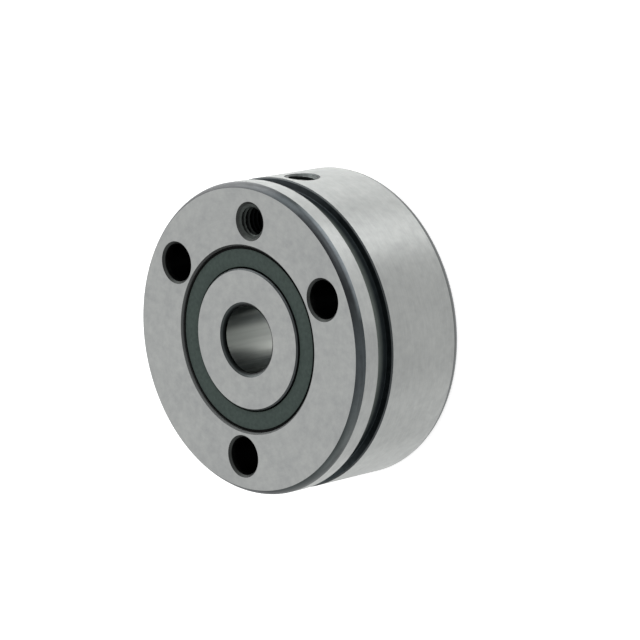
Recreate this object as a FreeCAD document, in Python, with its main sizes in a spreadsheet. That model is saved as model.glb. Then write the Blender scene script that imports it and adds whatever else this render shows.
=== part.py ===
import FreeCAD, Part
import os
import Sketcher

# Double row angular contact thrust ball bearing with a screw-down outer ring.
# The bearing stands on its rear face, its axis is Z, and the lubrication ports look along +Y.
# All sizes are in millimetres. "Depth" is measured from an end face towards the middle.

SIZES = {
    # Envelope
    "outer_diameter": 55.0,
    "bearing_width": 25.0,
    "bore_diameter": 12.0,
    # Turned edges: fall is radial, length is axial
    "front_edge_fall": 0.9,
    "rear_edge_fall": 0.75,
    "rim_edge_length": 1.55,
    "bore_edge_fall": 0.62,
    "bore_edge_length": 0.45,
    # Groove round the outer ring for an extractor
    "pull_groove_from_rear": 17.0,
    "pull_groove_width": 3.25,
    "pull_groove_depth": 1.4,
    "pull_groove_edge": 0.22,
    # Screw holes through the outer ring, a wall away from the seal groove
    "screw_hole_diameter": 6.8,
    "screw_hole_count": 3,
    "screw_hole_edge": 0.33,
    "screw_wall": 0.545,
    # Lubrication ports, drilled at the core diameter of their thread
    "port_bore_diameter": 4.92,
    "axial_mouth_diameter": 6.88,
    "radial_mouth_diameter": 6.5,
    "axial_port_depth": 8.0,
    "radial_port_depth": 7.0,
    "feed_drill_diameter": 2.4,
    "port_floor_angle": 31.0,
    # Balls and raceways, the spacing taken between neighbouring balls
    "ball_diameter": 6.35,
    "ball_count": 12,
    "ball_spacing": 0.638,
    "contact_angle": 60.0,
    "race_conformity": 0.515,
    "running_clearance": 0.045,
    "assembly_clearance": 0.03,
    # High shoulders of the raceways, from the pitch circle
    "shoulder_offset": 1.0,
    "shoulder_edge": 0.25,
    "split_edge": 0.2,
    # Cages
    "pocket_clearance": 0.06,
    "cage_gap": 0.3,
    "cage_rim": 1.0,
    "cage_flange_gap": 0.6,
    "cage_flange_thickness": 0.7,
    # Seal seats in the outer ring, a step wider than the land beside the raceway
    "seal_seat_step": 0.02,
    "seat_lip_length": 1.0,
    "seal_groove_depth": 0.33,
    "seal_groove_width": 1.1,
    # Seals
    "seal_fit_gap": 0.03,
    "seal_face_depth": 0.43,
    "seal_rim_depth": 0.8,
    "seal_channel_width": 0.805,
    "seal_eye_gap": 0.28,
    "seal_back_depth": 1.4,
    "seal_bead_length": 1.0,
    "seal_lip_root_depth": 1.2,
    "seal_lip_depth": 1.5,
    "seal_lip_edge": 0.25,
    "seal_lip_width": 0.65,
    "seal_flank": 0.4,
    "seal_lip_clearance": 0.08,
}

doc = FreeCAD.newDocument("bearing")
sheet = doc.addObject("Spreadsheet::Sheet", "dims")
for row, (alias, value) in enumerate(SIZES.items(), start=1):
    sheet.set(f"A{row}", alias)
    sheet.set(f"B{row}", str(value))
    sheet.setAlias(f"B{row}", alias)
doc.recompute()

# Places that several pieces share, as expressions on the sheet
OUTER_R = "dims.outer_diameter / 2"
BORE_R = "dims.bore_diameter / 2"
WIDTH = "dims.bearing_width"
BALL_R = "dims.ball_diameter / 2"
PITCH_R = "(dims.ball_diameter + dims.ball_spacing) / (2 * sin(180 / dims.ball_count))"
PORT_R = "dims.port_bore_diameter / 2"
FEED_R = "dims.feed_drill_diameter / 2"
WEB_R = f"{PITCH_R} + dims.shoulder_offset"
SHOULDER_R = f"{PITCH_R} - dims.shoulder_offset"
# The low sides of the raceways let the balls pass when the rings are put together
LAND_R = f"{PITCH_R} + {BALL_R} + dims.assembly_clearance"
NECK_R = f"{PITCH_R} - {BALL_R} - dims.assembly_clearance"
SEAT_R = f"{LAND_R} + dims.seal_seat_step"
SEAL_GROOVE_R = f"{SEAT_R} + dims.seal_groove_depth"
SEAL_GROOVE_END = "dims.seat_lip_length + dims.seal_groove_width"
SCREW_CIRCLE_R = f"{SEAL_GROOVE_R} + dims.screw_wall + dims.screw_hole_diameter / 2"
# Each row stands midway between its seal groove and the middle of the bearing
BALL_DEPTH = f"({SEAL_GROOVE_END} + {WIDTH} / 2) / 2"

# A raceway is a little wider than the ball: its centre lies beyond the ball's, on the contact line
RACE_R = "dims.race_conformity * dims.ball_diameter"
RACE_SHIFT = f"({RACE_R} - {BALL_R} - dims.running_clearance)"
RACE_SHIFT_R = f"{RACE_SHIFT} * cos(dims.contact_angle)"
RACE_SHIFT_Z = f"{RACE_SHIFT} * sin(dims.contact_angle)"
OUTER_RACE_R = f"{PITCH_R} - {RACE_SHIFT_R}"
OUTER_RACE_DEPTH = f"{BALL_DEPTH} - {RACE_SHIFT_Z}"
INNER_RACE_R = f"{PITCH_R} + {RACE_SHIFT_R}"
INNER_RACE_DEPTH = f"{BALL_DEPTH} + {RACE_SHIFT_Z}"


def height(end, depth):
    """Z of a place at this depth below the front or the rear face."""
    return f"{WIDTH} - ({depth})" if end == "front" else depth


def make_body(label):
    body = doc.addObject("PartDesign::Body", label)
    body.Label = label
    return body


def origin_feature(body, role):
    return next(item for item in body.Origin.OriginFeatures if item.Role == role)


def make_sketch(body, name, role, offset_x=None, offset_y=None):
    """Sketch on one of the body's own origin planes, its origin moved within the plane."""
    sketch = body.newObject("Sketcher::SketchObject", name)
    sketch.AttachmentSupport = [(origin_feature(body, role), "")]
    sketch.MapMode = "FlatFace"
    if offset_x:
        sketch.setExpression("AttachmentOffset.Base.x", offset_x)
    if offset_y:
        sketch.setExpression("AttachmentOffset.Base.y", offset_y)
    return sketch


def bind(sketch, kind, place, expression):
    """Dimension of the sketch that is driven by an expression."""
    value = float(sketch.evalExpression(expression))
    index = sketch.addConstraint(Sketcher.Constraint(kind, *place, value))
    sketch.setExpression(f"Constraints[{index}]", expression)


def draw_outline(sketch, corners):
    """Closed outline of straight edges through corners given as pairs of expressions."""
    points = [FreeCAD.Vector(float(sketch.evalExpression(x)), float(sketch.evalExpression(y)), 0)
              for x, y in corners]
    count = len(points)
    for index in range(count):
        sketch.addGeometry(Part.LineSegment(points[index], points[(index + 1) % count]))
    for index in range(count):
        sketch.addConstraint(Sketcher.Constraint("Coincident", index, 2, (index + 1) % count, 1))
    for index, (x, y) in enumerate(corners):
        edge_before = index - 1
        if index and x == corners[edge_before][0]:
            sketch.addConstraint(Sketcher.Constraint("Vertical", edge_before))
        else:
            bind(sketch, "DistanceX", (-1, 1, index, 1), x)
        if index and y == corners[edge_before][1]:
            sketch.addConstraint(Sketcher.Constraint("Horizontal", edge_before))
        else:
            bind(sketch, "DistanceY", (-1, 1, index, 1), y)


def draw_circle(sketch, centre_x, centre_y, radius):
    centre = FreeCAD.Vector(float(sketch.evalExpression(centre_x)), float(sketch.evalExpression(centre_y)), 0)
    normal = FreeCAD.Vector(0, 0, 1)
    index = sketch.addGeometry(Part.Circle(centre, normal, float(sketch.evalExpression(radius))))
    bind(sketch, "DistanceX", (-1, 1, index, 3), centre_x)
    bind(sketch, "DistanceY", (-1, 1, index, 3), centre_y)
    bind(sketch, "Radius", (index,), radius)


def revolve(body, kind, name, sketch, axis="V_Axis"):
    """Full turn of a sketch, which adds material (Revolution) or cuts it away (Groove)."""
    feature = body.newObject(f"PartDesign::{kind}", name)
    feature.Profile = sketch
    feature.ReferenceAxis = (sketch, [axis])
    feature.Angle = 360
    sketch.Visibility = False
    doc.recompute()
    return feature


def cut_less(body, volume_before, what):
    """A cut has to take material away."""
    if body.Shape.Volume >= volume_before - 1e-3:
        raise RuntimeError(f"{what} cut nothing")
    return body.Shape.Volume


def rim_edges(shape, radius, level):
    """Names of the circular edges with this radius that lie flat at this height."""
    names = []
    for index, edge in enumerate(shape.Edges, start=1):
        if not isinstance(edge.Curve, Part.Circle):
            continue
        flat = abs(edge.BoundBox.ZMin - level) < 1e-4 and abs(edge.BoundBox.ZMax - level) < 1e-4
        if flat and abs(edge.Curve.Radius - radius) < 1e-4:
            names.append(f"Edge{index}")
    return names


def seat_corners(end):
    """Bore of the outer ring from an end face to the raceway: seal seat, seal groove and land."""
    face = height(end, "0")
    lip = height(end, "dims.seat_lip_length")
    groove_end = height(end, SEAL_GROOVE_END)
    race = height(end, OUTER_RACE_DEPTH)
    return [(SEAT_R, face), (SEAT_R, lip), (SEAL_GROOVE_R, lip), (SEAL_GROOVE_R, groove_end),
            (LAND_R, groove_end), (LAND_R, race), (WEB_R, race)]


def make_outer_ring():
    body = make_body("outer_ring")
    section = make_sketch(body, "ring_section", "XZ_Plane")
    outside = [(f"{OUTER_R} - dims.front_edge_fall", WIDTH),
               (OUTER_R, f"{WIDTH} - dims.rim_edge_length"),
               (OUTER_R, "dims.rim_edge_length"),
               (f"{OUTER_R} - dims.rear_edge_fall", "0")]
    draw_outline(section, outside + seat_corners("rear") + seat_corners("front")[::-1])
    revolve(body, "Revolution", "turned_ring", section)
    volume = body.Shape.Volume

    races = make_sketch(body, "race_section", "XZ_Plane")
    for end in ("front", "rear"):
        draw_circle(races, OUTER_RACE_R, height(end, OUTER_RACE_DEPTH), RACE_R)
    revolve(body, "Groove", "raceways", races)
    volume = cut_less(body, volume, "outer raceways")

    groove = make_sketch(body, "pull_groove_section", "XZ_Plane")
    floor = f"{OUTER_R} - dims.pull_groove_depth"
    break_r = f"{OUTER_R} - dims.pull_groove_edge"
    low = "dims.pull_groove_from_rear"
    high = f"{low} + dims.pull_groove_width"
    outside_r = f"{OUTER_R} + dims.pull_groove_edge"
    draw_outline(groove, [(floor, low), (break_r, low),
                          (outside_r, f"{low} - 2 * dims.pull_groove_edge"),
                          (outside_r, f"{high} + 2 * dims.pull_groove_edge"),
                          (break_r, high), (floor, high)])
    revolve(body, "Groove", "pull_groove", groove)
    volume = cut_less(body, volume, "pull groove")

    cut_axial_port(body)
    volume = cut_less(body, volume, "axial port")
    cut_radial_port(body)
    volume = cut_less(body, volume, "radial port")
    cut_screw_holes(body)
    cut_less(body, volume, "screw holes")
    return body


def cut_axial_port(body):
    """Threaded port from the front face, with a drilling down to the radial port."""
    sketch = make_sketch(body, "axial_port_section", "YZ_Plane", offset_x=SCREW_CIRCLE_R)
    mouth_r = "dims.axial_mouth_diameter / 2"
    floor = f"{WIDTH} - dims.axial_port_depth"
    point = f"{floor} - ({PORT_R} - {FEED_R}) * tan(dims.port_floor_angle)"
    draw_outline(sketch, [("0", WIDTH), (mouth_r, WIDTH),
                          (PORT_R, f"{WIDTH} - ({mouth_r} - {PORT_R})"), (PORT_R, floor),
                          (FEED_R, point), (FEED_R, f"{WIDTH} / 2"), ("0", f"{WIDTH} / 2")])
    revolve(body, "Groove", "axial_port", sketch)


def cut_radial_port(body):
    """Threaded port from the outside, with a drilling into the space between the ball rows."""
    sketch = make_sketch(body, "radial_port_section", "YZ_Plane", offset_y=f"{WIDTH} / 2")
    mouth_r = "dims.radial_mouth_diameter / 2"
    floor = f"{OUTER_R} - dims.radial_port_depth"
    point = f"{floor} - ({PORT_R} - {FEED_R}) * tan(dims.port_floor_angle)"
    inside = f"{WEB_R} - dims.feed_drill_diameter"
    draw_outline(sketch, [(inside, "0"), (inside, FEED_R), (point, FEED_R), (floor, PORT_R),
                          (f"{OUTER_R} - ({mouth_r} - {PORT_R})", PORT_R),
                          (OUTER_R, mouth_r), (f"{OUTER_R} + dims.pull_groove_edge", mouth_r),
                          (f"{OUTER_R} + dims.pull_groove_edge", "0")])
    revolve(body, "Groove", "radial_port", sketch, "H_Axis")


def cut_screw_holes(body):
    """Through holes on the screw circle, the ports midway between two of them."""
    sketch = make_sketch(body, "screw_hole_section", "XY_Plane")
    first = "90 + 180 / dims.screw_hole_count"
    draw_polar_circle(sketch, SCREW_CIRCLE_R, first, "dims.screw_hole_diameter / 2")
    hole = body.newObject("PartDesign::Pocket", "screw_hole")
    hole.Profile = sketch
    hole.Type = "ThroughAll"
    hole.Midplane = True
    sketch.Visibility = False
    holes = body.newObject("PartDesign::PolarPattern", "screw_holes")
    holes.Originals = [hole]
    holes.Axis = (origin_feature(body, "Z_Axis"), [""])
    holes.Angle = 360
    holes.setExpression("Occurrences", "dims.screw_hole_count")
    body.Tip = holes
    doc.recompute()
    radius = SIZES["screw_hole_diameter"] / 2
    rims = [name for level in (0, SIZES["bearing_width"])
            for name in rim_edges(holes.Shape, radius, level)]
    edges = body.newObject("PartDesign::Chamfer", "screw_hole_edges")
    edges.Base = (holes, rims)
    edges.setExpression("Size", "dims.screw_hole_edge")
    body.Tip = edges
    doc.recompute()


def draw_polar_circle(sketch, distance, angle, radius):
    """Circle at a distance and an angle from the sketch's origin, at the end of a construction line."""
    reach = float(sketch.evalExpression(distance))
    turn = FreeCAD.Rotation(FreeCAD.Vector(0, 0, 1), float(sketch.evalExpression(angle)))
    centre = turn.multVec(FreeCAD.Vector(reach, 0, 0))
    arm = sketch.addGeometry(Part.LineSegment(FreeCAD.Vector(0, 0, 0), centre), True)
    normal = FreeCAD.Vector(0, 0, 1)
    ring = sketch.addGeometry(Part.Circle(centre, normal, float(sketch.evalExpression(radius))), False)
    sketch.addConstraint(Sketcher.Constraint("Coincident", arm, 1, -1, 1))
    sketch.addConstraint(Sketcher.Constraint("Coincident", ring, 3, arm, 2))
    bind(sketch, "Distance", (arm,), distance)
    bind(sketch, "Angle", (-1, 1, arm, 1), f"({angle}) * 1 deg")
    bind(sketch, "Radius", (ring,), radius)


def make_inner_ring(end):
    """Half of the inner ring: it meets the other half in the middle of the bearing."""
    body = make_body(f"inner_ring_{end}")
    section = make_sketch(body, "half_section", "XZ_Plane")
    face = height(end, "0")
    split = f"{WIDTH} / 2"
    split_rise = height(end, f"{WIDTH} / 2 - dims.split_edge")
    race = height(end, INNER_RACE_DEPTH)
    draw_outline(section, [(f"{BORE_R} + dims.bore_edge_fall", face),
                           (f"{SHOULDER_R} - dims.shoulder_edge", face),
                           (SHOULDER_R, height(end, "dims.shoulder_edge")),
                           (SHOULDER_R, race), (NECK_R, race), (NECK_R, split_rise),
                           (f"{NECK_R} - dims.split_edge", split),
                           (f"{BORE_R} + dims.split_edge", split), (BORE_R, split_rise),
                           (BORE_R, height(end, "dims.bore_edge_length"))])
    revolve(body, "Revolution", "turned_half", section)
    volume = body.Shape.Volume
    race_section = make_sketch(body, "race_section", "XZ_Plane")
    draw_circle(race_section, INNER_RACE_R, race, RACE_R)
    revolve(body, "Groove", "raceway", race_section)
    cut_less(body, volume, f"inner raceway, {end}")
    return body


def make_seal(end):
    """Rubber seal: its bead sits in the outer ring's groove, its lip runs round the inner ring."""
    body = make_body(f"seal_{end}")
    section = make_sketch(body, "seal_section", "XZ_Plane")
    eye_r = f"{SHOULDER_R} + dims.seal_eye_gap"
    face_r = f"{SEAT_R} - dims.seal_channel_width"
    rim_r = f"{SEAT_R} - dims.seal_fit_gap"
    bead_r = f"{SEAL_GROOVE_R} - dims.seal_fit_gap"
    tip_r = f"{SHOULDER_R} + dims.seal_lip_clearance"
    lip_r = f"{tip_r} + dims.seal_lip_width"
    bead_root_r = f"{SEAT_R} - dims.seal_bead_length"
    face = height(end, "dims.seal_face_depth")
    rim = height(end, "dims.seal_rim_depth")
    bead_top = height(end, "dims.seat_lip_length + dims.seal_fit_gap")
    bead_end = height(end, f"{SEAL_GROOVE_END} - dims.seal_fit_gap")
    back = height(end, "dims.seal_back_depth")
    lip_root = height(end, "dims.seal_lip_root_depth")
    lip_top = height(end, "dims.seal_lip_depth")
    lip_end = height(end, "dims.seal_lip_depth + dims.seal_lip_edge")
    draw_outline(section, [(eye_r, face), (face_r, face), (face_r, rim), (rim_r, rim),
                           (rim_r, bead_top), (bead_r, bead_top), (bead_r, bead_end),
                           (bead_root_r, bead_end),
                           (f"{bead_root_r} - dims.seal_flank", back),
                           (f"{lip_r} + dims.seal_flank", back),
                           (lip_r, lip_end), (tip_r, lip_end), (tip_r, lip_top), (eye_r, lip_root)])
    revolve(body, "Revolution", "moulded_seal", section)
    return body


def make_cage(end, first_angle):
    """Moulded cage: a sleeve with a window for each ball and a flange towards the seal."""
    body = make_body(f"cage_{end}")
    section = make_sketch(body, "cage_section", "XZ_Plane")
    inside_r = f"{SHOULDER_R} + dims.cage_gap"
    outside_r = f"{WEB_R} - dims.cage_gap"
    reach = f"{BALL_R} + dims.pocket_clearance + dims.cage_rim"
    flange_r = f"{LAND_R} - dims.cage_flange_gap"
    top = height(end, f"{BALL_DEPTH} - ({reach})")
    flange = height(end, f"{BALL_DEPTH} - ({reach}) + dims.cage_flange_thickness")
    low = height(end, f"{BALL_DEPTH} + {reach}")
    draw_outline(section, [(inside_r, top), (flange_r, top), (flange_r, flange),
                           (outside_r, flange), (outside_r, low), (inside_r, low)])
    revolve(body, "Revolution", "moulded_sleeve", section)
    volume = body.Shape.Volume
    pocket = body.newObject("PartDesign::SubtractiveSphere", "ball_pocket")
    # On the YZ plane the offset counts along Y, Z and X, and the sphere's poles point along the radius
    pocket.AttachmentSupport = [(origin_feature(body, "YZ_Plane"), "")]
    pocket.MapMode = "FlatFace"
    pocket.AttachmentOffset = FreeCAD.Placement(FreeCAD.Vector(), FreeCAD.Rotation(FreeCAD.Vector(0, 1, 0), 1))
    pocket.setExpression("Radius", f"{BALL_R} + dims.pocket_clearance")
    pocket.setExpression("AttachmentOffset.Rotation.Angle", f"({first_angle}) * 1 deg")
    pocket.setExpression("AttachmentOffset.Base.x", f"{PITCH_R} * sin({first_angle})")
    pocket.setExpression("AttachmentOffset.Base.y", height(end, BALL_DEPTH))
    pocket.setExpression("AttachmentOffset.Base.z", f"{PITCH_R} * cos({first_angle})")
    pockets = body.newObject("PartDesign::PolarPattern", "ball_pockets")
    pockets.Originals = [pocket]
    pockets.Axis = (origin_feature(body, "Z_Axis"), [""])
    pockets.Angle = 360
    pockets.setExpression("Occurrences", "dims.ball_count")
    body.Tip = pockets
    doc.recompute()
    cut_less(body, volume, f"ball pockets, {end}")
    return body


def make_balls(end, first_angle):
    """Full row of balls, each a piece of its own."""
    balls = []
    for index in range(int(SIZES["ball_count"])):
        label = f"ball_{end}_{index + 1:02d}"
        ball = doc.addObject("Part::Sphere", label)
        ball.Label = label
        ball.setExpression("Radius", BALL_R)
        angle = f"({first_angle} + {index} * 360 / dims.ball_count)"
        ball.setExpression("Placement.Base.x", f"{PITCH_R} * cos{angle}")
        ball.setExpression("Placement.Base.y", f"{PITCH_R} * sin{angle}")
        ball.setExpression("Placement.Base.z", height(end, BALL_DEPTH))
        balls.append(ball)
    return balls


# The rear row stands half a step round from the front row
FIRST_ANGLE = {"front": "0", "rear": "180 / dims.ball_count"}

pieces = [make_outer_ring()]
for end, angle in FIRST_ANGLE.items():
    pieces += [make_inner_ring(end), make_cage(end, angle), make_seal(end)]
    pieces += make_balls(end, angle)
doc.recompute()

for item in doc.Objects:
    if {"Invalid", "Error"} & set(item.State):
        raise RuntimeError(f"{item.Label} did not compute: {item.State}")
for piece in pieces:
    shape = piece.Shape
    if shape.isNull() or not shape.isValid() or len(shape.Solids) != 1:
        raise RuntimeError(f"{piece.Label} is not one valid solid")

os.makedirs("parts", exist_ok=True)
for piece in pieces:
    piece.Shape.exportStep(f"parts/{piece.Label}.step")
    print(f"{piece.Label}: {piece.Shape.Volume:.1f} mm3")
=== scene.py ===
"""Looks of a double row angular contact thrust ball bearing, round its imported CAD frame."""
import math

import bpy
from mathutils import Matrix, Vector


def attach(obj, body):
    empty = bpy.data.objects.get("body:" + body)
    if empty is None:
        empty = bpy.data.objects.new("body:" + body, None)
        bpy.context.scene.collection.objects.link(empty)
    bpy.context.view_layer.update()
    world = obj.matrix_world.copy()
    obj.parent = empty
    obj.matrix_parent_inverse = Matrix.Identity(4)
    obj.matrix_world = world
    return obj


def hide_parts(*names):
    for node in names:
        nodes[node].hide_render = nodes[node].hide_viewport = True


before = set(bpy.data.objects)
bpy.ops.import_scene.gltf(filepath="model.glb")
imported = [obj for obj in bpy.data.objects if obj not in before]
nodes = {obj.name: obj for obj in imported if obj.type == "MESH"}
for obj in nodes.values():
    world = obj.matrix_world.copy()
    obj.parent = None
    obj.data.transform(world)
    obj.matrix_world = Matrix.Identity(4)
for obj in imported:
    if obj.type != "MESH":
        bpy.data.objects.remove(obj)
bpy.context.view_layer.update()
MM = 0.001

# ---------------------------------------------------------------- sizes in mm, as the CAD has them
WIDTH = 25.0
OUTER_R = 27.5
BORE_R = 6.0
FRONT_EDGE_FALL = 0.9
RIM_EDGE_LENGTH = 1.55
BORE_EDGE_FALL = 0.62
BORE_EDGE_LENGTH = 0.45

PULL_GROOVE_LOW = 17.0
PULL_GROOVE_HIGH = 20.25
PULL_GROOVE_DEPTH = 1.4
PULL_GROOVE_EDGE = 0.22

SCREW_CIRCLE_R = 21.0
SCREW_R = 3.4
SCREW_COUNT = 3
FIRST_SCREW_ANGLE = 30

AXIAL_MOUTH_R = 3.44
AXIAL_PORT_DEPTH = 8.0
RADIAL_MOUTH_R = 3.25
RADIAL_PORT_DEPTH = 7.0
PORT_FLOOR_ANGLE = 31
FEED_R = 1.2

BALL_R = 3.175
BALL_COUNT = 12
BALL_SPACING = 0.638
PITCH_R = (2 * BALL_R + BALL_SPACING) / (2 * math.sin(math.pi / BALL_COUNT))
CONTACT = math.radians(60)
RACE_CONFORMITY = 0.515
RUNNING_CLEARANCE = 0.045
ASSEMBLY_CLEARANCE = 0.03
SHOULDER_OFFSET = 1.0
SHOULDER_EDGE = 0.25
SPLIT_EDGE = 0.2
WEB_R = PITCH_R + SHOULDER_OFFSET
SHOULDER_R = PITCH_R - SHOULDER_OFFSET
LAND_R = PITCH_R + BALL_R + ASSEMBLY_CLEARANCE
NECK_R = PITCH_R - BALL_R - ASSEMBLY_CLEARANCE
RACE_R = RACE_CONFORMITY * 2 * BALL_R
RACE_SHIFT = RACE_R - BALL_R - RUNNING_CLEARANCE

SEAL_SEAT_STEP = 0.02
SEAT_R = LAND_R + SEAL_SEAT_STEP
SEAT_LIP_LENGTH = 1.0
SEAL_GROOVE_DEPTH = 0.33
SEAL_GROOVE_WIDTH = 1.1
SEAL_GROOVE_R = SEAT_R + SEAL_GROOVE_DEPTH
SEAL_GROOVE_END = SEAT_LIP_LENGTH + SEAL_GROOVE_WIDTH
SEAL_FIT_GAP = 0.03
SEAL_FACE_DEPTH = 0.43
SEAL_RIM_DEPTH = 0.8
SEAL_CHANNEL_WIDTH = 0.805
SEAL_EYE_GAP = 0.28
SEAL_BACK_DEPTH = 1.4
SEAL_BEAD_LENGTH = 1.0
SEAL_LIP_ROOT_DEPTH = 1.2
SEAL_LIP_DEPTH = 1.5
SEAL_LIP_EDGE = 0.25
SEAL_LIP_WIDTH = 0.65
SEAL_LIP_CLEARANCE = 0.08
SEAL_FLANK = 0.4
BALL_DEPTH = (SEAL_GROOVE_END + WIDTH / 2) / 2

# ---------------------------------------------------------------- sizes in mm that the looks add
REAR_EDGE_FALL = 0.85
FRONT_BULGE = 0.17
REAR_BULGE = 0.15
BORE_LEAD = 0.95
SCREW_EDGE = 0.4
RECESS_EDGE = 0.32
RECESS_WALL_END = 0.78
THREAD_PITCH = 1.0
THREAD_CORE_R = 2.46
THREAD_R = 3.0
THREAD_FIT = 0.02
AXIAL_THREAD_DEPTH = 7.4
RADIAL_THREAD_DEPTH = 6.4
MOUTH_RISE = 0.3

# Steps round a turn and along curves
RING_STEPS = 288
INNER_STEPS = 192
PLUG_STEPS = 96
THREAD_STEPS = 16
SHARP_ANGLE = math.radians(32)

WHITE = (1, 1, 1, 1)

# Slots of STEELS, in its order
FACED, TURNED, BORE, SCALE, BLACK, EDGE, RECESS, GROOVE, CUT, THREAD = range(10)


# ---------------------------------------------------------------- outlines
def fillet(corners, steps=3):
    """Closed outline of (a, b) points, from corners (a, b) or (a, b, radius)."""
    points = []
    count = len(corners)
    for i, corner in enumerate(corners):
        here = Vector(corner[:2])
        radius = corner[2] if len(corner) > 2 else 0
        if not radius:
            points.append(tuple(here))
            continue
        before = (Vector(corners[i - 1][:2]) - here).normalized()
        after = (Vector(corners[(i + 1) % count][:2]) - here).normalized()
        half = before.angle(after) / 2
        reach = radius / math.tan(half)
        centre = here + (before + after).normalized() * (radius / math.sin(half))
        first = here + before * reach - centre
        turn = first.angle_signed(here + after * reach - centre)
        for k in range(steps + 1):
            spoke = Matrix.Rotation(-turn * k / steps, 2) @ first
            points.append(tuple(centre + spoke))
    return points


def arc(centre_r, centre_depth, radius, start, end, steps=20):
    """Points (r, depth) of a circular arc between two depths, on the side given by radius' sign."""
    points = []
    first = math.asin((start - centre_depth) / abs(radius))
    last = math.asin((end - centre_depth) / abs(radius))
    for k in range(steps + 1):
        angle = first + (last - first) * k / steps
        points.append((centre_r + radius * math.cos(angle), centre_depth + abs(radius) * math.sin(angle)))
    return points


def bulge(start, end, rise, steps=7):
    """Inner points of a shallow arc from start to end that bulges to the right of its chord by the rise."""
    start, end = Vector(start), Vector(end)
    along = end - start
    half = along.length / 2
    radius = (half ** 2 + rise ** 2) / (2 * rise)
    along.normalize()
    outward = Vector((along.y, -along.x))
    centre = (start + end) / 2 - outward * (radius - rise)
    spread = math.asin(half / radius)
    points = []
    for k in range(1, steps):
        angle = spread * (2 * k / steps - 1)
        points.append(tuple(centre + radius * (outward * math.cos(angle) + along * math.sin(angle))))
    return points


def chord(radius, offset):
    """Half the chord of a circle at this distance from its centre."""
    return math.sqrt(radius ** 2 - offset ** 2)


def at_end(end, outline):
    """An outline of (r, depth, ...) as (r, z, ...), counterclockwise at either end."""
    if end == "front":
        return [(p[0], WIDTH - p[1], *p[2:]) for p in outline]
    return list(outline)[::-1]


# ---------------------------------------------------------------- meshes
def new_mesh(name, verts, faces, slots, materials):
    """Object with a mesh of its own, and with one material slot number for each face."""
    mesh = bpy.data.meshes.new(name)
    mesh.from_pydata(verts, [], faces)
    for material in materials:
        mesh.materials.append(material)
    mesh.polygons.foreach_set("material_index", slots)
    mesh.validate()
    obj = bpy.data.objects.new(name, mesh)
    bpy.context.scene.collection.objects.link(obj)
    return obj


def lathe(name, outline, slot_of, materials, steps=RING_STEPS):
    """Ring turned from a closed counterclockwise outline of (r, z) in mm."""
    count = len(outline)
    verts = []
    for k in range(steps):
        angle = 2 * math.pi * k / steps
        verts += [(r * MM * math.cos(angle), r * MM * math.sin(angle), z * MM) for r, z in outline]
    faces, slots = [], []
    for k in range(steps):
        here, there = k * count, (k + 1) % steps * count
        for i in range(count):
            j = (i + 1) % count
            faces.append((here + i, there + i, there + j, here + j))
            slots.append(slot_of(outline[i], outline[j]))
    return new_mesh(name, verts, faces, slots, materials)


def cutter(name, rows, place, steps=PLUG_STEPS):
    """Closed plug along its own Z: rows of (z, r), where r is a function of the angle in the thread."""
    verts = []
    for z, r in rows:
        for k in range(steps):
            angle = 2 * math.pi * k / steps
            radius = r(angle) if callable(r) else r
            verts.append(place @ Vector((radius * math.cos(angle), radius * math.sin(angle), z)) * MM)
    faces, slots = [], []
    for row in range(len(rows) - 1):
        for k in range(steps):
            a, b = row * steps + k, row * steps + (k + 1) % steps
            faces.append((a, b, b + steps, a + steps))
            slots.append(THREAD if callable(rows[row][1]) else CUT)
    faces.append(tuple(range(steps))[::-1])
    faces.append(tuple(range((len(rows) - 1) * steps, len(rows) * steps)))
    return new_mesh(name, verts, faces, slots + [CUT, CUT], STEELS)


def subtract(body, plug):
    """Cut the plug out of the body, exactly, and remove the plug."""
    cut = body.modifiers.new("cut", "BOOLEAN")
    cut.operation = "DIFFERENCE"
    cut.solver = "EXACT"
    cut.object = plug
    graph = bpy.context.evaluated_depsgraph_get()
    mesh = bpy.data.meshes.new_from_object(body.evaluated_get(graph))
    body.modifiers.clear()
    body.data = mesh
    bpy.data.objects.remove(plug)


def shade(obj, limit=SHARP_ANGLE):
    """Smooth shading: turned faces get the normals of their true surface of revolution."""
    mesh = obj.data
    mesh.shade_smooth()
    mesh.set_sharp_from_angle(angle=limit)
    turned = {}
    for face in mesh.polygons:
        if face.material_index in (CUT, THREAD):
            continue
        centre = face.center.to_2d()
        flat = Vector(face.normal[:2])
        outward = 1 if flat.dot(centre) > 0 else -1
        turned[face.index] = Vector((outward * flat.length, face.normal.z))
    around = {}
    for index, section in turned.items():
        for vertex in mesh.polygons[index].vertices:
            around.setdefault(vertex, []).append(section)
    normals = [(0.0, 0.0, 0.0)] * len(mesh.loops)
    for index, section in turned.items():
        face = mesh.polygons[index]
        for loop in face.loop_indices:
            vertex = mesh.loops[loop].vertex_index
            total = Vector((0, 0))
            for other in around[vertex]:
                if section.dot(other) > math.cos(limit):
                    total += other
            total.normalize()
            spot = mesh.vertices[vertex].co.to_2d()
            spot.normalize()
            normals[loop] = (total.x * spot.x, total.x * spot.y, total.y)
    mesh.normals_split_custom_set(normals)


# ---------------------------------------------------------------- materials
def linear(red, green, blue):
    """Colour as it looks on the screen, 0 to 255, as linear values."""
    values = []
    for channel in (red, green, blue):
        c = channel / 255
        values.append(c / 12.92 if c <= 0.04045 else ((c + 0.055) / 1.055) ** 2.4)
    return (*values, 1)


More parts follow.
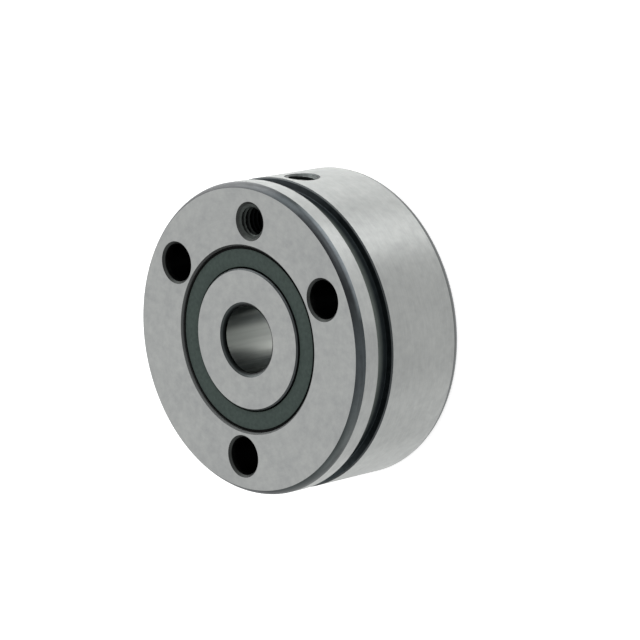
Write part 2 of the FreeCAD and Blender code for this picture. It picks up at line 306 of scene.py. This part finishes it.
class Shader:
    """Small helper round one material's node tree. Values are numbers, colours or sockets."""

    def __init__(self, name):
        self.material = bpy.data.materials.new(name)
        self.material.use_nodes = True
        self.tree = self.material.node_tree
        self.bsdf = self.tree.nodes["Principled BSDF"]

    def node(self, kind, inputs=None, **settings):
        made = self.tree.nodes.new(kind)
        for key, value in settings.items():
            setattr(made, key, value)
        for key, value in (inputs or {}).items():
            self.put(made.inputs[key], value)
        return made

    def put(self, socket, value):
        if isinstance(value, bpy.types.NodeSocket):
            self.tree.links.new(value, socket)
        else:
            socket.default_value = value

    def surface(self, name, value):
        """One input of the Principled shader."""
        self.put(self.bsdf.inputs[name], value)

    def math(self, operation, a, b=0.0, clamp=False):
        made = self.node("ShaderNodeMath", operation=operation, use_clamp=clamp)
        self.put(made.inputs[0], a)
        self.put(made.inputs[1], b)
        return made.outputs[0]

    def mix(self, factor, a, b):
        made = self.node("ShaderNodeMix", data_type="RGBA")
        self.put(made.inputs["Factor"], factor)
        self.put(made.inputs[6], a)
        self.put(made.inputs[7], b)
        return made.outputs[2]

    def blend(self, a, b, share):
        """Weighted mean of two values, with this share of the second."""
        return self.math("ADD", self.math("MULTIPLY", a, 1 - share), self.math("MULTIPLY", b, share))

    def gain(self, *parts):
        """One, and what pairs of a mask and its weight add to it."""
        total = 1.0
        for mask, weight in parts:
            total = self.math("ADD", total, self.math("MULTIPLY", mask, weight))
        return total

    def scaled(self, colour, gain):
        """The colour made lighter or darker by this factor."""
        return self.node("ShaderNodeVectorMath", {0: colour, "Scale": gain}, operation="SCALE").outputs[0]

    def ramp(self, value, low, high, out_low=0.0, out_high=1.0):
        """The value mapped from one range to another and held at its ends."""
        made = self.node("ShaderNodeMapRange", {"Value": value, "From Min": low, "From Max": high,
                                                "To Min": out_low, "To Max": out_high})
        return made.outputs[0]

    def noise(self, vector, scale, detail=2.0, roughness=0.5):
        made = self.node("ShaderNodeTexNoise", {"Vector": vector, "Scale": scale, "Detail": detail,
                                                "Roughness": roughness})
        return made.outputs[0]

    def position(self):
        return self.node("ShaderNodeTexCoord").outputs["Object"]

    def polar(self):
        """Direction from the Z axis as x and y, distance from it, and height."""
        parts = self.node("ShaderNodeSeparateXYZ", {0: self.position()})
        flat = self.node("ShaderNodeCombineXYZ", {0: parts.outputs[0], 1: parts.outputs[1]})
        length = self.node("ShaderNodeVectorMath", {0: flat.outputs[0]}, operation="LENGTH")
        unit = self.node("ShaderNodeVectorMath", {0: flat.outputs[0]}, operation="NORMALIZE")
        spoke = self.node("ShaderNodeSeparateXYZ", {0: unit.outputs[0]})
        return spoke.outputs[0], spoke.outputs[1], length.outputs["Value"], parts.outputs[2]

    def around(self, turn_scale, length_scale):
        """Coordinates for lines that run round Z: slow along the turn, fast across it."""
        x, y, radius, height = self.polar()
        vector = self.node("ShaderNodeCombineXYZ", {
            0: self.math("MULTIPLY", x, turn_scale), 1: self.math("MULTIPLY", y, turn_scale),
            2: self.math("MULTIPLY", self.math("ADD", height, radius), length_scale)})
        return vector.outputs[0]

    def toward(self, degrees, low, high):
        """0 to 1 as the place round the axis nears an angle: from cosine low to cosine high."""
        x, y = self.polar()[:2]
        turn = math.radians(degrees)
        cosine = self.math("ADD", self.math("MULTIPLY", x, math.cos(turn)),
                           self.math("MULTIPLY", y, math.sin(turn)))
        return self.ramp(cosine, low, high)

    def end_depth(self):
        """Depth below the nearer end face, in metres."""
        height = self.polar()[3]
        return self.math("MINIMUM", height, self.math("SUBTRACT", WIDTH * MM, height))

    def depth(self):
        """Depth below the nearest of the end faces and the outside, in metres."""
        radius = self.polar()[2]
        return self.math("MINIMUM", self.end_depth(), self.math("SUBTRACT", OUTER_R * MM, radius))

    def bump(self, height, strength, distance):
        made = self.node("ShaderNodeBump", {"Height": height, "Strength": strength, "Distance": distance})
        self.surface("Normal", made.outputs[0])


def ground_steel(name, low, high, roughness, anisotropic, line_share, gain_of=None):
    """Ground bearing steel: fine circular grinding lines and faint mottling."""
    s = Shader(name)
    mottle = s.noise(s.position(), 700.0, 5.0, 0.65)
    cloud = s.noise(s.position(), 90.0, 3.0)
    lines = s.noise(s.around(8.0, 5000.0), 1.0, 3.0)
    tone = s.blend(s.blend(mottle, lines, line_share), cloud, 0.25)
    colour = s.mix(s.ramp(tone, 0.35, 0.65), low, high)
    # gain_of, where given, paints light into the colour
    if gain_of:
        colour = s.scaled(colour, gain_of(s))
    s.surface("Base Color", colour)
    s.surface("Metallic", 1.0)
    s.surface("Roughness", s.ramp(mottle, 0.3, 0.7, roughness - 0.03, roughness + 0.03))
    if anisotropic:
        s.surface("Specular Tint", (0.7, 0.7, 0.7, 1))
        s.surface("Anisotropic", anisotropic)
        s.surface("Anisotropic Rotation", 0.25)
        tangent = s.node("ShaderNodeTangent", direction_type="RADIAL", axis="Z")
        s.surface("Tangent", tangent.outputs[0])
    s.bump(lines, 0.05, 0.00002)
    return s.material


def painted_outside_highlights(s):
    """Painted highlights: the outside is a little brighter in three places: on its front land, on top and
    low down.
    """
    front = s.ramp(s.polar()[3], (PULL_GROOVE_HIGH - 0.25) * MM, (PULL_GROOVE_HIGH + 0.25) * MM)
    land = s.math("MULTIPLY", front, s.toward(27, 0.965, 0.995))
    return s.gain((land, 0.2), (s.toward(92, 0.85, 1.0), 0.08), (s.toward(-66, 0.85, 1.0), 0.3))


def honed_steel_painted_reflections():
    """Bore of the inner ring: streaked along the axis, dark with two brighter bands, as painted reflections
    and painted shade.
    """
    s = Shader("honed_steel_painted_reflections")
    x, y, _, height = s.polar()
    along = s.node("ShaderNodeCombineXYZ", {0: s.math("MULTIPLY", x, 6.5), 1: s.math("MULTIPLY", y, 6.5),
                                            2: s.math("MULTIPLY", height, 60.0)})
    streaks = s.noise(along.outputs[0], 1.0, 1.5, 0.5)
    # Painted reflections: two brighter bands on the wall, fading out near the front end
    bands = s.math("MAXIMUM", s.ramp(y, 0.05, 0.25, 0.0, 0.5), s.ramp(y, -0.42, -0.62))
    inner_reflection_bands = s.math("MULTIPLY", bands, s.ramp(height, 23 * MM, 17 * MM))
    reflected_light = s.mix(inner_reflection_bands, linear(193, 196, 193), linear(232, 234, 230))
    # Painted shade: dark on a slanted upper side and at the bottom, broken up by the streaks
    slanted = s.math("ADD", y, s.math("MULTIPLY", s.math("SUBTRACT", height, 20.2 * MM), 30.0))
    side = s.math("MAXIMUM", s.ramp(slanted, 0.44, 0.66), s.ramp(y, -0.66, -0.86))
    dark = s.math("ADD", side, s.math("MULTIPLY", s.math("SUBTRACT", streaks, 0.45), 0.7), clamp=True)
    s.surface("Base Color", s.mix(dark, reflected_light, linear(90, 95, 96)))
    s.surface("Metallic", 1.0)
    s.surface("Roughness", 0.3)
    return s.material


def scale_steel(name, colour_of, roughness, metallic=1.0):
    """Turned edges and holes: dark from heat treatment, left unground; colour_of gives the colour, which
    for most of them carries painted light and shade.
    """
    s = Shader(name)
    mottle = s.noise(s.position(), 900.0, 3.0)
    lines = s.noise(s.around(3.0, 14000.0), 1.0, 2.0)
    marks = s.noise(s.around(6.0, 6000.0), 1.0, 3.0)
    gain = s.ramp(s.blend(mottle, marks, 0.6), 0.35, 0.65, 0.82, 1.18)
    s.surface("Base Color", s.scaled(colour_of(s), gain))
    s.surface("Metallic", metallic)
    s.surface("Roughness", s.ramp(mottle, 0.3, 0.7, roughness - 0.05, roughness + 0.05))
    s.bump(lines, 0.12, 0.00003)
    return s.material


def even(colour):
    """The same colour everywhere."""
    return lambda s: colour[:3]


def painted_shade_with_depth(mouth, inside, low, high):
    """Painted shade in a hole: one colour at the mouth and a darker one below, between two depths in mm."""
    return lambda s: s.mix(s.ramp(s.depth(), low * MM, high * MM), mouth, inside)


def port_painted_light_and_shade(end_mouth, side_mouth, inside, low, high):
    """Like painted_shade_with_depth, with one colour for mouths in the end faces and a lighter one, as
    painted light, for the radial port's on top.
    """
    def colour_of(s):
        toward_port = s.node("ShaderNodeSeparateXYZ", {0: s.position()}).outputs[1]
        # Painted light: the radial port's mouth on top is lighter than the mouths in the end faces
        mouth = s.mix(s.ramp(toward_port, 24.4 * MM, 24.6 * MM), end_mouth, side_mouth)
        # Painted shade: darker deeper in
        return s.mix(s.ramp(s.depth(), low * MM, high * MM), mouth, inside)
    return colour_of


def edge_painted_light_and_shade(s):
    """Rounded edges of the outside: dark scale with painted light and shade: lighter toward the ground
    part, on top and low down, darker at the side, with a painted highlight at upper right.
    """
    # Painted reflection: each edge lightens toward the outside
    across = s.ramp(s.end_depth(), 0.0, RIM_EDGE_LENGTH * MM)
    plain = s.mix(across, linear(62, 66, 68), linear(71, 76, 78))
    side = s.mix(across, linear(41, 43, 44), linear(52, 55, 57))
    # Painted light on top and low down, painted shade at the side
    top = s.mix(across, linear(52, 53, 54), linear(148, 150, 152))
    low = s.mix(across, linear(57, 62, 62), linear(96, 100, 100))
    colour = s.mix(s.toward(40, 0.86, 0.98), s.mix(s.toward(-42, 0.82, 0.96), plain, low), side)
    front = s.mix(s.toward(107, 0.85, 1.0), colour, top)
    # Painted highlight at upper right, on the outer part of the front edge
    painted_highlight = s.math("MULTIPLY", s.ramp(s.end_depth(), 0.8 * MM, 1.35 * MM), s.toward(43, 0.9, 0.98))
    front = s.scaled(front, s.gain((painted_highlight, 5.0)))
    # The rear edge's lighter grey is painted light
    return s.mix(s.ramp(s.polar()[3], 3 * MM, 4 * MM), linear(102, 105, 105), front)


def groove_painted_light_and_shade(s):
    """Extractor groove: black as painted shade, with a greyer band on its floor as painted reflection, and
    a dark grey rear wall painted lighter low down and on top.
    """
    height = s.polar()[3]
    # Painted reflection: a greyer band across the floor
    band = s.math("MULTIPLY", s.ramp(height, 17.7 * MM, 18.95 * MM), s.ramp(height, 20.0 * MM, 19.0 * MM))
    floor = s.mix(band, linear(40, 46, 48), linear(100, 106, 102))
    # Painted light on the rear wall, low down and on top
    wall = s.mix(s.toward(-62, 0.85, 0.98), linear(40, 46, 48), linear(78, 86, 89))
    wall = s.mix(s.toward(95, 0.8, 0.97), wall, linear(70, 75, 78))
    on_wall = s.ramp(height, (PULL_GROOVE_LOW + 0.12) * MM, (PULL_GROOVE_LOW + 0.02) * MM)
    return s.mix(on_wall, floor, wall)


def recess_painted_shade(s):
    """Edge and wall of the seal's recess: grey, with painted shade: darker inward and at the top, black in
    the depth.
    """
    depth = s.end_depth()
    # Painted shade: darker with depth and toward the top, black below the edge
    grey = s.mix(s.ramp(depth, 0.06 * MM, 0.3 * MM), linear(64, 67, 66), linear(43, 46, 46))
    rim = s.mix(s.toward(90, 0.2, 0.8), grey, linear(22, 24, 24))
    below = s.ramp(depth, (RECESS_EDGE + 0.01) * MM, (RECESS_EDGE + 0.08) * MM)
    return s.mix(below, rim, linear(26, 28, 27))


def seal_rubber(name, low, high, specular=0.35):
    """Matte moulded rubber."""
    s = Shader(name)
    grain = s.noise(s.position(), 5000.0, 3.0)
    cloud = s.noise(s.position(), 90.0, 3.0)
    speckle = s.noise(s.position(), 1600.0, 2.0)
    tone = s.blend(cloud, speckle, 0.7)
    s.surface("Base Color", s.mix(s.ramp(tone, 0.35, 0.65), low, high))
    s.surface("Roughness", s.ramp(cloud, 0.3, 0.7, 0.62, 0.72))
    s.surface("Specular IOR Level", specular)
    s.bump(grain, 0.25, 0.00003)
    return s.material


def cage_plastic():
    """Dark green moulded cages, which show only through a cut."""
    s = Shader("cage_plastic")
    grain = s.noise(s.position(), 2500.0, 2.0)
    s.surface("Base Color", s.mix(s.ramp(grain, 0.3, 0.7), linear(38, 58, 48), linear(44, 65, 54)))
    s.surface("Roughness", s.ramp(grain, 0.3, 0.7, 0.45, 0.55))
    s.bump(grain, 0.1, 0.00003)
    return s.material


def ball_steel():
    """Polished balls."""
    s = Shader("ball_steel")
    grain = s.noise(s.position(), 700.0, 2.0)
    colour = s.mix(s.ramp(grain, 0.3, 0.7), linear(190, 192, 194), linear(198, 200, 203))
    s.surface("Base Color", colour)
    s.surface("Metallic", 1.0)
    s.surface("Roughness", s.ramp(grain, 0.3, 0.7, 0.08, 0.12))
    return s.material


STEELS = [
    ground_steel("faced_steel", linear(151, 153, 153), linear(169, 171, 169), 0.33, 0.0, 0.2),
    # The outside and raceways: ground steel with painted highlights on the outside
    ground_steel("ground_steel", linear(161, 163, 162), linear(182, 184, 182), 0.5, 0.9, 0.35,
                 painted_outside_highlights),
    honed_steel_painted_reflections(),
    scale_steel("dark_scale", even(linear(62, 65, 66)), 0.38),
    # Scale on the bore's chamfer and lead, with painted shade deeper in
    scale_steel("bore_edge_painted_shade", painted_shade_with_depth(linear(60, 64, 64), linear(20, 23, 23), 0.17, 0.33), 0.35),
    # Rounded edges: scale with painted light and shade
    scale_steel("edge_scale_painted_light_and_shade", edge_painted_light_and_shade, 0.4),
    # Seal recess: scale with painted shade
    scale_steel("recess_scale_painted_shade", recess_painted_shade, 0.6, 0.0),
    # Extractor groove: scale with painted light and shade
    scale_steel("groove_scale_painted_light_and_shade", groove_painted_light_and_shade, 0.5),
    # Screw holes and ports: scale with painted shade inside and painted light on the radial port's mouth
    scale_steel("hole_scale_painted_shade_and_light", port_painted_light_and_shade(linear(50, 52, 51), linear(80, 83, 83), linear(18, 19, 20),
                                          0.5, 1.6), 0.4),
    scale_steel("thread_scale_painted_shade_and_light", port_painted_light_and_shade(linear(62, 66, 64), linear(88, 92, 91), linear(10, 11, 12),
                                            0.9, 2.9), 0.35)]
RUBBERS = [seal_rubber("seal_rubber", linear(40, 53, 49), linear(53, 66, 61)),
           # Near-black rubber in the channel round the raised face: painted shade in the gap
           seal_rubber("channel_rubber_painted_shade", linear(8, 9, 9), linear(14, 15, 15), 0.1)]
PLASTIC = cage_plastic()
CHROME = ball_steel()


# ---------------------------------------------------------------- outer ring
def middle(a, b):
    """Radius of the middle of an outline's segment, and its depth below the nearer end face."""
    z = (a[1] + b[1]) / 2
    return (a[0] + b[0]) / 2, min(z, WIDTH - z)


def outer_half():
    """Bore side of the outer ring as (r, depth), from an end face to the middle of the web."""
    race_r = PITCH_R - RACE_SHIFT * math.cos(CONTACT)
    race_depth = BALL_DEPTH - RACE_SHIFT * math.sin(CONTACT)
    first = race_depth - chord(RACE_R, LAND_R - race_r)
    last = race_depth + chord(RACE_R, WEB_R - race_r)
    wall_r = SEAT_R - RECESS_EDGE
    recess = [(SEAT_R, 0, 0.03), (wall_r, RECESS_EDGE, 0.05), (wall_r, RECESS_WALL_END),
              (SEAT_R, RECESS_WALL_END)]
    seal_groove = [(SEAT_R, SEAT_LIP_LENGTH), (SEAL_GROOVE_R, SEAT_LIP_LENGTH),
                   (SEAL_GROOVE_R, SEAL_GROOVE_END), (LAND_R, SEAL_GROOVE_END)]
    return recess + seal_groove + arc(race_r, race_depth, RACE_R, first, last)


def ring_outline():
    """Section of the outer ring, its outside from the rear to the front and its bore side back again."""
    low, high, edge = PULL_GROOVE_LOW, PULL_GROOVE_HIGH, PULL_GROOVE_EDGE
    floor_r = OUTER_R - PULL_GROOVE_DEPTH
    rear = [(OUTER_R - REAR_EDGE_FALL, 0), (OUTER_R, RIM_EDGE_LENGTH)]
    front = [(OUTER_R, WIDTH - RIM_EDGE_LENGTH), (OUTER_R - FRONT_EDGE_FALL, WIDTH)]
    outside = [rear[0], *bulge(*rear, REAR_BULGE), rear[1],
               (OUTER_R, low - edge, 0.06), (OUTER_R - edge, low, 0.04), (floor_r, low, 0.08),
               (floor_r, high, 0.08), (OUTER_R - edge, high, 0.04), (OUTER_R, high + edge, 0.06),
               front[0], *bulge(*front, FRONT_BULGE), front[1]]
    return fillet(outside + at_end("front", outer_half()) + at_end("rear", outer_half()))


def ring_slot(a, b):
    """Ground on the end faces, the outside and the raceways; dark elsewhere."""
    r, depth = middle(a, b)
    if depth < 1e-4:
        return FACED
    if abs(r - OUTER_R) < 1e-3 or (r < SEAT_R + 0.04 and depth > SEAL_GROOVE_END + 0.01):
        return TURNED
    if r > SEAT_R + 1:
        if depth < RIM_EDGE_LENGTH + 0.15:
            return EDGE
        return SCALE if r > OUTER_R - PULL_GROOVE_EDGE - 0.03 else GROOVE
    return RECESS if r < SEAT_R + 0.1 and depth < SEAL_RIM_DEPTH else SCALE


def thread_radius(z):
    """Radius round an internal M6 thread at this height, as a function of the angle."""
    crest, root_share, flank_share = THREAD_R - THREAD_FIT, 0.14, 0.62

    def radius(angle):
        phase = (z / THREAD_PITCH - angle / (2 * math.pi)) % 1.0
        height = min(1.0, max(0.0, (abs(phase - 0.5) * 2 - root_share) / flank_share))
        return crest - (crest - THREAD_CORE_R) * height
    return radius


def port_rows(mouth_r, thread_depth, floor_depth, feed_depth):
    """Rows of a threaded port from the inside out: feed drilling, drilled floor, thread, countersink."""
    cone = (THREAD_CORE_R - FEED_R) * math.tan(math.radians(PORT_FLOOR_ANGLE))
    rows = [(-feed_depth, FEED_R), (-floor_depth - cone, FEED_R), (-floor_depth, THREAD_CORE_R),
            (-thread_depth - 0.06, THREAD_CORE_R)]
    top = -(mouth_r - THREAD_R)
    count = int(round((thread_depth + top) / THREAD_PITCH * THREAD_STEPS))
    for k in range(count + 1):
        z = -thread_depth + (thread_depth + top) * k / count
        rows.append((z, thread_radius(z)))
    rows.append((top + THREAD_FIT, THREAD_R + THREAD_FIT))
    rows.append((MOUTH_RISE, mouth_r + MOUTH_RISE))
    return rows


def build_outer_ring():
    """Outer ring with its screw holes and both ports cut out."""
    ring = lathe("outer_ring_ground", ring_outline(), ring_slot, STEELS)
    wide = SCREW_R + SCREW_EDGE + 1
    rows = [(-1, wide), (SCREW_EDGE, SCREW_R), (WIDTH - SCREW_EDGE, SCREW_R), (WIDTH + 1, wide)]
    for index in range(SCREW_COUNT):
        angle = math.radians(FIRST_SCREW_ANGLE + 360 / SCREW_COUNT * index)
        place = Matrix.Translation((SCREW_CIRCLE_R * math.cos(angle), SCREW_CIRCLE_R * math.sin(angle), 0))
        subtract(ring, cutter(f"screw_hole_{index}", rows, place))
    place = Matrix.Translation((0, SCREW_CIRCLE_R, WIDTH))
    rows = port_rows(AXIAL_MOUTH_R, AXIAL_THREAD_DEPTH, AXIAL_PORT_DEPTH, WIDTH / 2)
    subtract(ring, cutter("axial_port", rows, place))
    place = Matrix.Translation((0, OUTER_R, WIDTH / 2)) @ Matrix.Rotation(math.radians(-90), 4, "X")
    through_web = OUTER_R - WEB_R + 2 * FEED_R
    rows = port_rows(RADIAL_MOUTH_R, RADIAL_THREAD_DEPTH, RADIAL_PORT_DEPTH, through_web)
    subtract(ring, cutter("radial_port", rows, place))
    shade(ring)
    return ring


# ---------------------------------------------------------------- inner ring and seals
def inner_outline(end):
    """Section of one half of the inner ring."""
    race_r = PITCH_R + RACE_SHIFT * math.cos(CONTACT)
    race_depth = BALL_DEPTH + RACE_SHIFT * math.sin(CONTACT)
    first = race_depth - chord(RACE_R, race_r - SHOULDER_R)
    last = race_depth + chord(RACE_R, race_r - NECK_R)
    race = arc(race_r, race_depth, -RACE_R, first, last)
    split = WIDTH / 2
    outline = [(BORE_R, split - SPLIT_EDGE), (BORE_R + SPLIT_EDGE, split),
               (NECK_R - SPLIT_EDGE, split), (NECK_R, split - SPLIT_EDGE)]
    outline += race[::-1]
    outline += [(SHOULDER_R, SHOULDER_EDGE, 0.06), (SHOULDER_R - SHOULDER_EDGE, 0, 0.04),
                (BORE_R + BORE_EDGE_FALL, 0, 0.03), (BORE_R, BORE_EDGE_LENGTH, 0.08), (BORE_R, BORE_LEAD)]
    return fillet(at_end(end, outline))


def inner_slot(a, b):
    """Ground face, honed bore with painted reflections, and raceway; dark edges and shoulder; a bore
    chamfer and lead that darken inward with painted shade.
    """
    r, depth = middle(a, b)
    if depth < 1e-4:
        return FACED
    if abs(r - BORE_R) < 1e-3 and depth > BORE_LEAD:
        return BORE
    if r < BORE_R + BORE_EDGE_FALL + 0.08 and depth < BORE_LEAD:
        return BLACK
    return TURNED if r < SHOULDER_R - 0.02 and depth > SEAT_LIP_LENGTH else SCALE


def seal_outline(end):
    """Section of a seal: raised face with a channel round it, lip at its eye, bead in the seal groove."""
    eye_r = SHOULDER_R + SEAL_EYE_GAP
    face_r = SEAT_R - SEAL_CHANNEL_WIDTH
    rim_r = SEAT_R - SEAL_FIT_GAP
    tip_r = SHOULDER_R + SEAL_LIP_CLEARANCE
    tip_end = SEAL_LIP_DEPTH + SEAL_LIP_EDGE
    lip_r = tip_r + SEAL_LIP_WIDTH
    root_r = SEAT_R - SEAL_BEAD_LENGTH
    bead_r = SEAL_GROOVE_R - SEAL_FIT_GAP
    bead_start, bead_end = SEAT_LIP_LENGTH + SEAL_FIT_GAP, SEAL_GROOVE_END - SEAL_FIT_GAP
    outline = [(eye_r, SEAL_FACE_DEPTH, 0.05), (eye_r, SEAL_LIP_ROOT_DEPTH), (tip_r, SEAL_LIP_DEPTH),
               (tip_r, tip_end), (lip_r, tip_end), (lip_r + SEAL_FLANK, SEAL_BACK_DEPTH),
               (root_r - SEAL_FLANK, SEAL_BACK_DEPTH), (root_r, bead_end), (bead_r, bead_end, 0.1),
               (bead_r, bead_start, 0.1), (rim_r, bead_start), (rim_r, SEAL_RIM_DEPTH),
               (face_r, SEAL_RIM_DEPTH, 0.05), (face_r, SEAL_FACE_DEPTH, 0.08)]
    return fillet(at_end(end, outline[::-1]))


def seal_slot(a, b):
    """Grey-green raised face; black in the channel round it, as painted shade."""
    r, depth = middle(a, b)
    return 1 if r > SEAT_R - SEAL_CHANNEL_WIDTH - 0.025 and depth > SEAL_FACE_DEPTH + 0.12 else 0


def paint(node, material):
    """A material for a node that keeps its CAD mesh."""
    for slot in node.material_slots:
        slot.material = material


def build():
    """The rings and seals that take the places of their CAD nodes, and colours for balls and cages."""
    ring = build_outer_ring()
    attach(ring, "outer")
    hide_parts("outer_ring")
    for end in ("front", "rear"):
        half = lathe(f"inner_ring_{end}_ground", inner_outline(end), inner_slot, STEELS, INNER_STEPS)
        shade(half)
        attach(half, "inner")
        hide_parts(f"inner_ring_{end}")
        seal = lathe(f"seal_{end}_moulded", seal_outline(end), seal_slot, RUBBERS, INNER_STEPS)
        shade(seal)
        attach(seal, "outer")
        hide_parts(f"seal_{end}")
        paint(nodes[f"cage_{end}"], PLASTIC)
        for index in range(BALL_COUNT):
            paint(nodes[f"ball_{end}_{index + 1:02d}"], CHROME)


build()


# ---------------------------------------------------------------- camera
def place_camera():
    """Camera of the photograph: a long lens, 45 degrees from the axis, with 12 o'clock up."""
    azimuth, elevation, roll = (math.radians(turn) for turn in (44.918, 13.565, 1.763))
    distance, sensor = 0.62493, 36.0
    # Size of the photo, focal length and shifts, in pixels
    image, focal, shift_x, shift_y = 640, 3549.0, 22.5, 9.5
    centre = Vector((0, 0, WIDTH / 2)) * MM
    back = Vector((math.sin(azimuth) * math.cos(elevation), math.sin(elevation),
                   math.cos(azimuth) * math.cos(elevation)))
    side = Vector((0, 1, 0)).cross(back).normalized()
    up = back.cross(side)
    right = side * math.cos(roll) + up * math.sin(roll)
    up = up * math.cos(roll) - side * math.sin(roll)
    data = bpy.data.cameras.new("camera")
    data.sensor_width = sensor
    data.lens = focal * sensor / image
    data.shift_x = shift_x / image
    data.shift_y = shift_y / image
    data.clip_start = 0.01
    data.clip_end = 20.0
    camera = bpy.data.objects.new("camera", data)
    bpy.context.scene.collection.objects.link(camera)
    turn = Matrix((right, up, back)).transposed().to_4x4()
    camera.matrix_world = Matrix.Translation(centre + back * distance) @ turn
    bpy.context.scene.camera = camera


# ---------------------------------------------------------------- stage and light
def make_floor():
    """Pale floor under the rear face: lifted to white for the camera, plain white in reflections."""
    s = Shader("floor")
    s.surface("Base Color", (0.85, 0.85, 0.85, 1))
    s.surface("Roughness", 1.0)
    s.surface("Specular IOR Level", 0.0)
    s.surface("Emission Color", WHITE)
    path = s.node("ShaderNodeLightPath")
    s.surface("Emission Strength", s.math("MULTIPLY", path.outputs["Is Camera Ray"], 0.6))
    mirrored = s.math("MAXIMUM", path.outputs["Is Glossy Ray"], path.outputs["Is Transmission Ray"])
    white = s.node("ShaderNodeEmission", {"Color": WHITE, "Strength": 1.0})
    blend = s.node("ShaderNodeMixShader", {0: mirrored, 1: s.bsdf.outputs[0], 2: white.outputs[0]})
    s.put(s.tree.nodes["Material Output"].inputs["Surface"], blend.outputs[0])
    reach = 3.0
    corners = [(-reach, -reach, 0), (reach, -reach, 0), (reach, reach, 0), (-reach, reach, 0)]
    floor = new_mesh("floor", corners, [(0, 1, 2, 3)], [0], [s.material])


def make_world():
    """White surroundings, a little weaker where they light matte surfaces."""
    world = bpy.data.worlds.new("studio")
    bpy.context.scene.world = world
    world.use_nodes = True
    tree = world.node_tree
    tree.nodes.clear()
    path = tree.nodes.new("ShaderNodeLightPath")
    seen = path.outputs["Is Camera Ray"]
    for name in ("Is Glossy Ray", "Is Transmission Ray"):
        either = tree.nodes.new("ShaderNodeMath")
        either.operation = "MAXIMUM"
        tree.links.new(seen, either.inputs[0])
        tree.links.new(path.outputs[name], either.inputs[1])
        seen = either.outputs[0]
    light = tree.nodes.new("ShaderNodeBackground")
    light.inputs["Strength"].default_value = 0.78
    shown = tree.nodes.new("ShaderNodeBackground")
    shown.inputs["Strength"].default_value = 1.0
    for background in (light, shown):
        background.inputs["Color"].default_value = WHITE
    blend = tree.nodes.new("ShaderNodeMixShader")
    tree.links.new(seen, blend.inputs[0])
    tree.links.new(light.outputs[0], blend.inputs[1])
    tree.links.new(shown.outputs[0], blend.inputs[2])
    output = tree.nodes.new("ShaderNodeOutputWorld")
    tree.links.new(blend.outputs[0], output.inputs[0])


def softbox(name, azimuth, elevation, width, height, power, distance=0.62):
    """Rectangular area lamp that faces the middle of the bearing; angles in degrees, azimuth from +X."""
    azimuth, elevation = math.radians(azimuth), math.radians(elevation)
    location = Vector((math.cos(azimuth) * math.cos(elevation), math.sin(azimuth) * math.cos(elevation),
                       math.sin(elevation))) * distance
    data = bpy.data.lights.new(name, "AREA")
    data.shape = "RECTANGLE"
    data.size = width
    data.size_y = height
    data.energy = power
    lamp = bpy.data.objects.new(name, data)
    bpy.context.scene.collection.objects.link(lamp)
    lamp.location = location
    aim = Vector((0, 0, WIDTH / 2 * MM)) - location
    lamp.rotation_euler = aim.to_track_quat("-Z", "Y").to_euler()


place_camera()
make_floor()
make_world()
softbox("key", 134, 13, 1.06, 0.3, 3.1)
softbox("edge", 69, 13, 0.3, 0.3, 1.4)
softbox("fill", -60, 15, 0.7, 0.3, 0.45)

bpy.context.scene.view_settings.view_transform = "Standard"
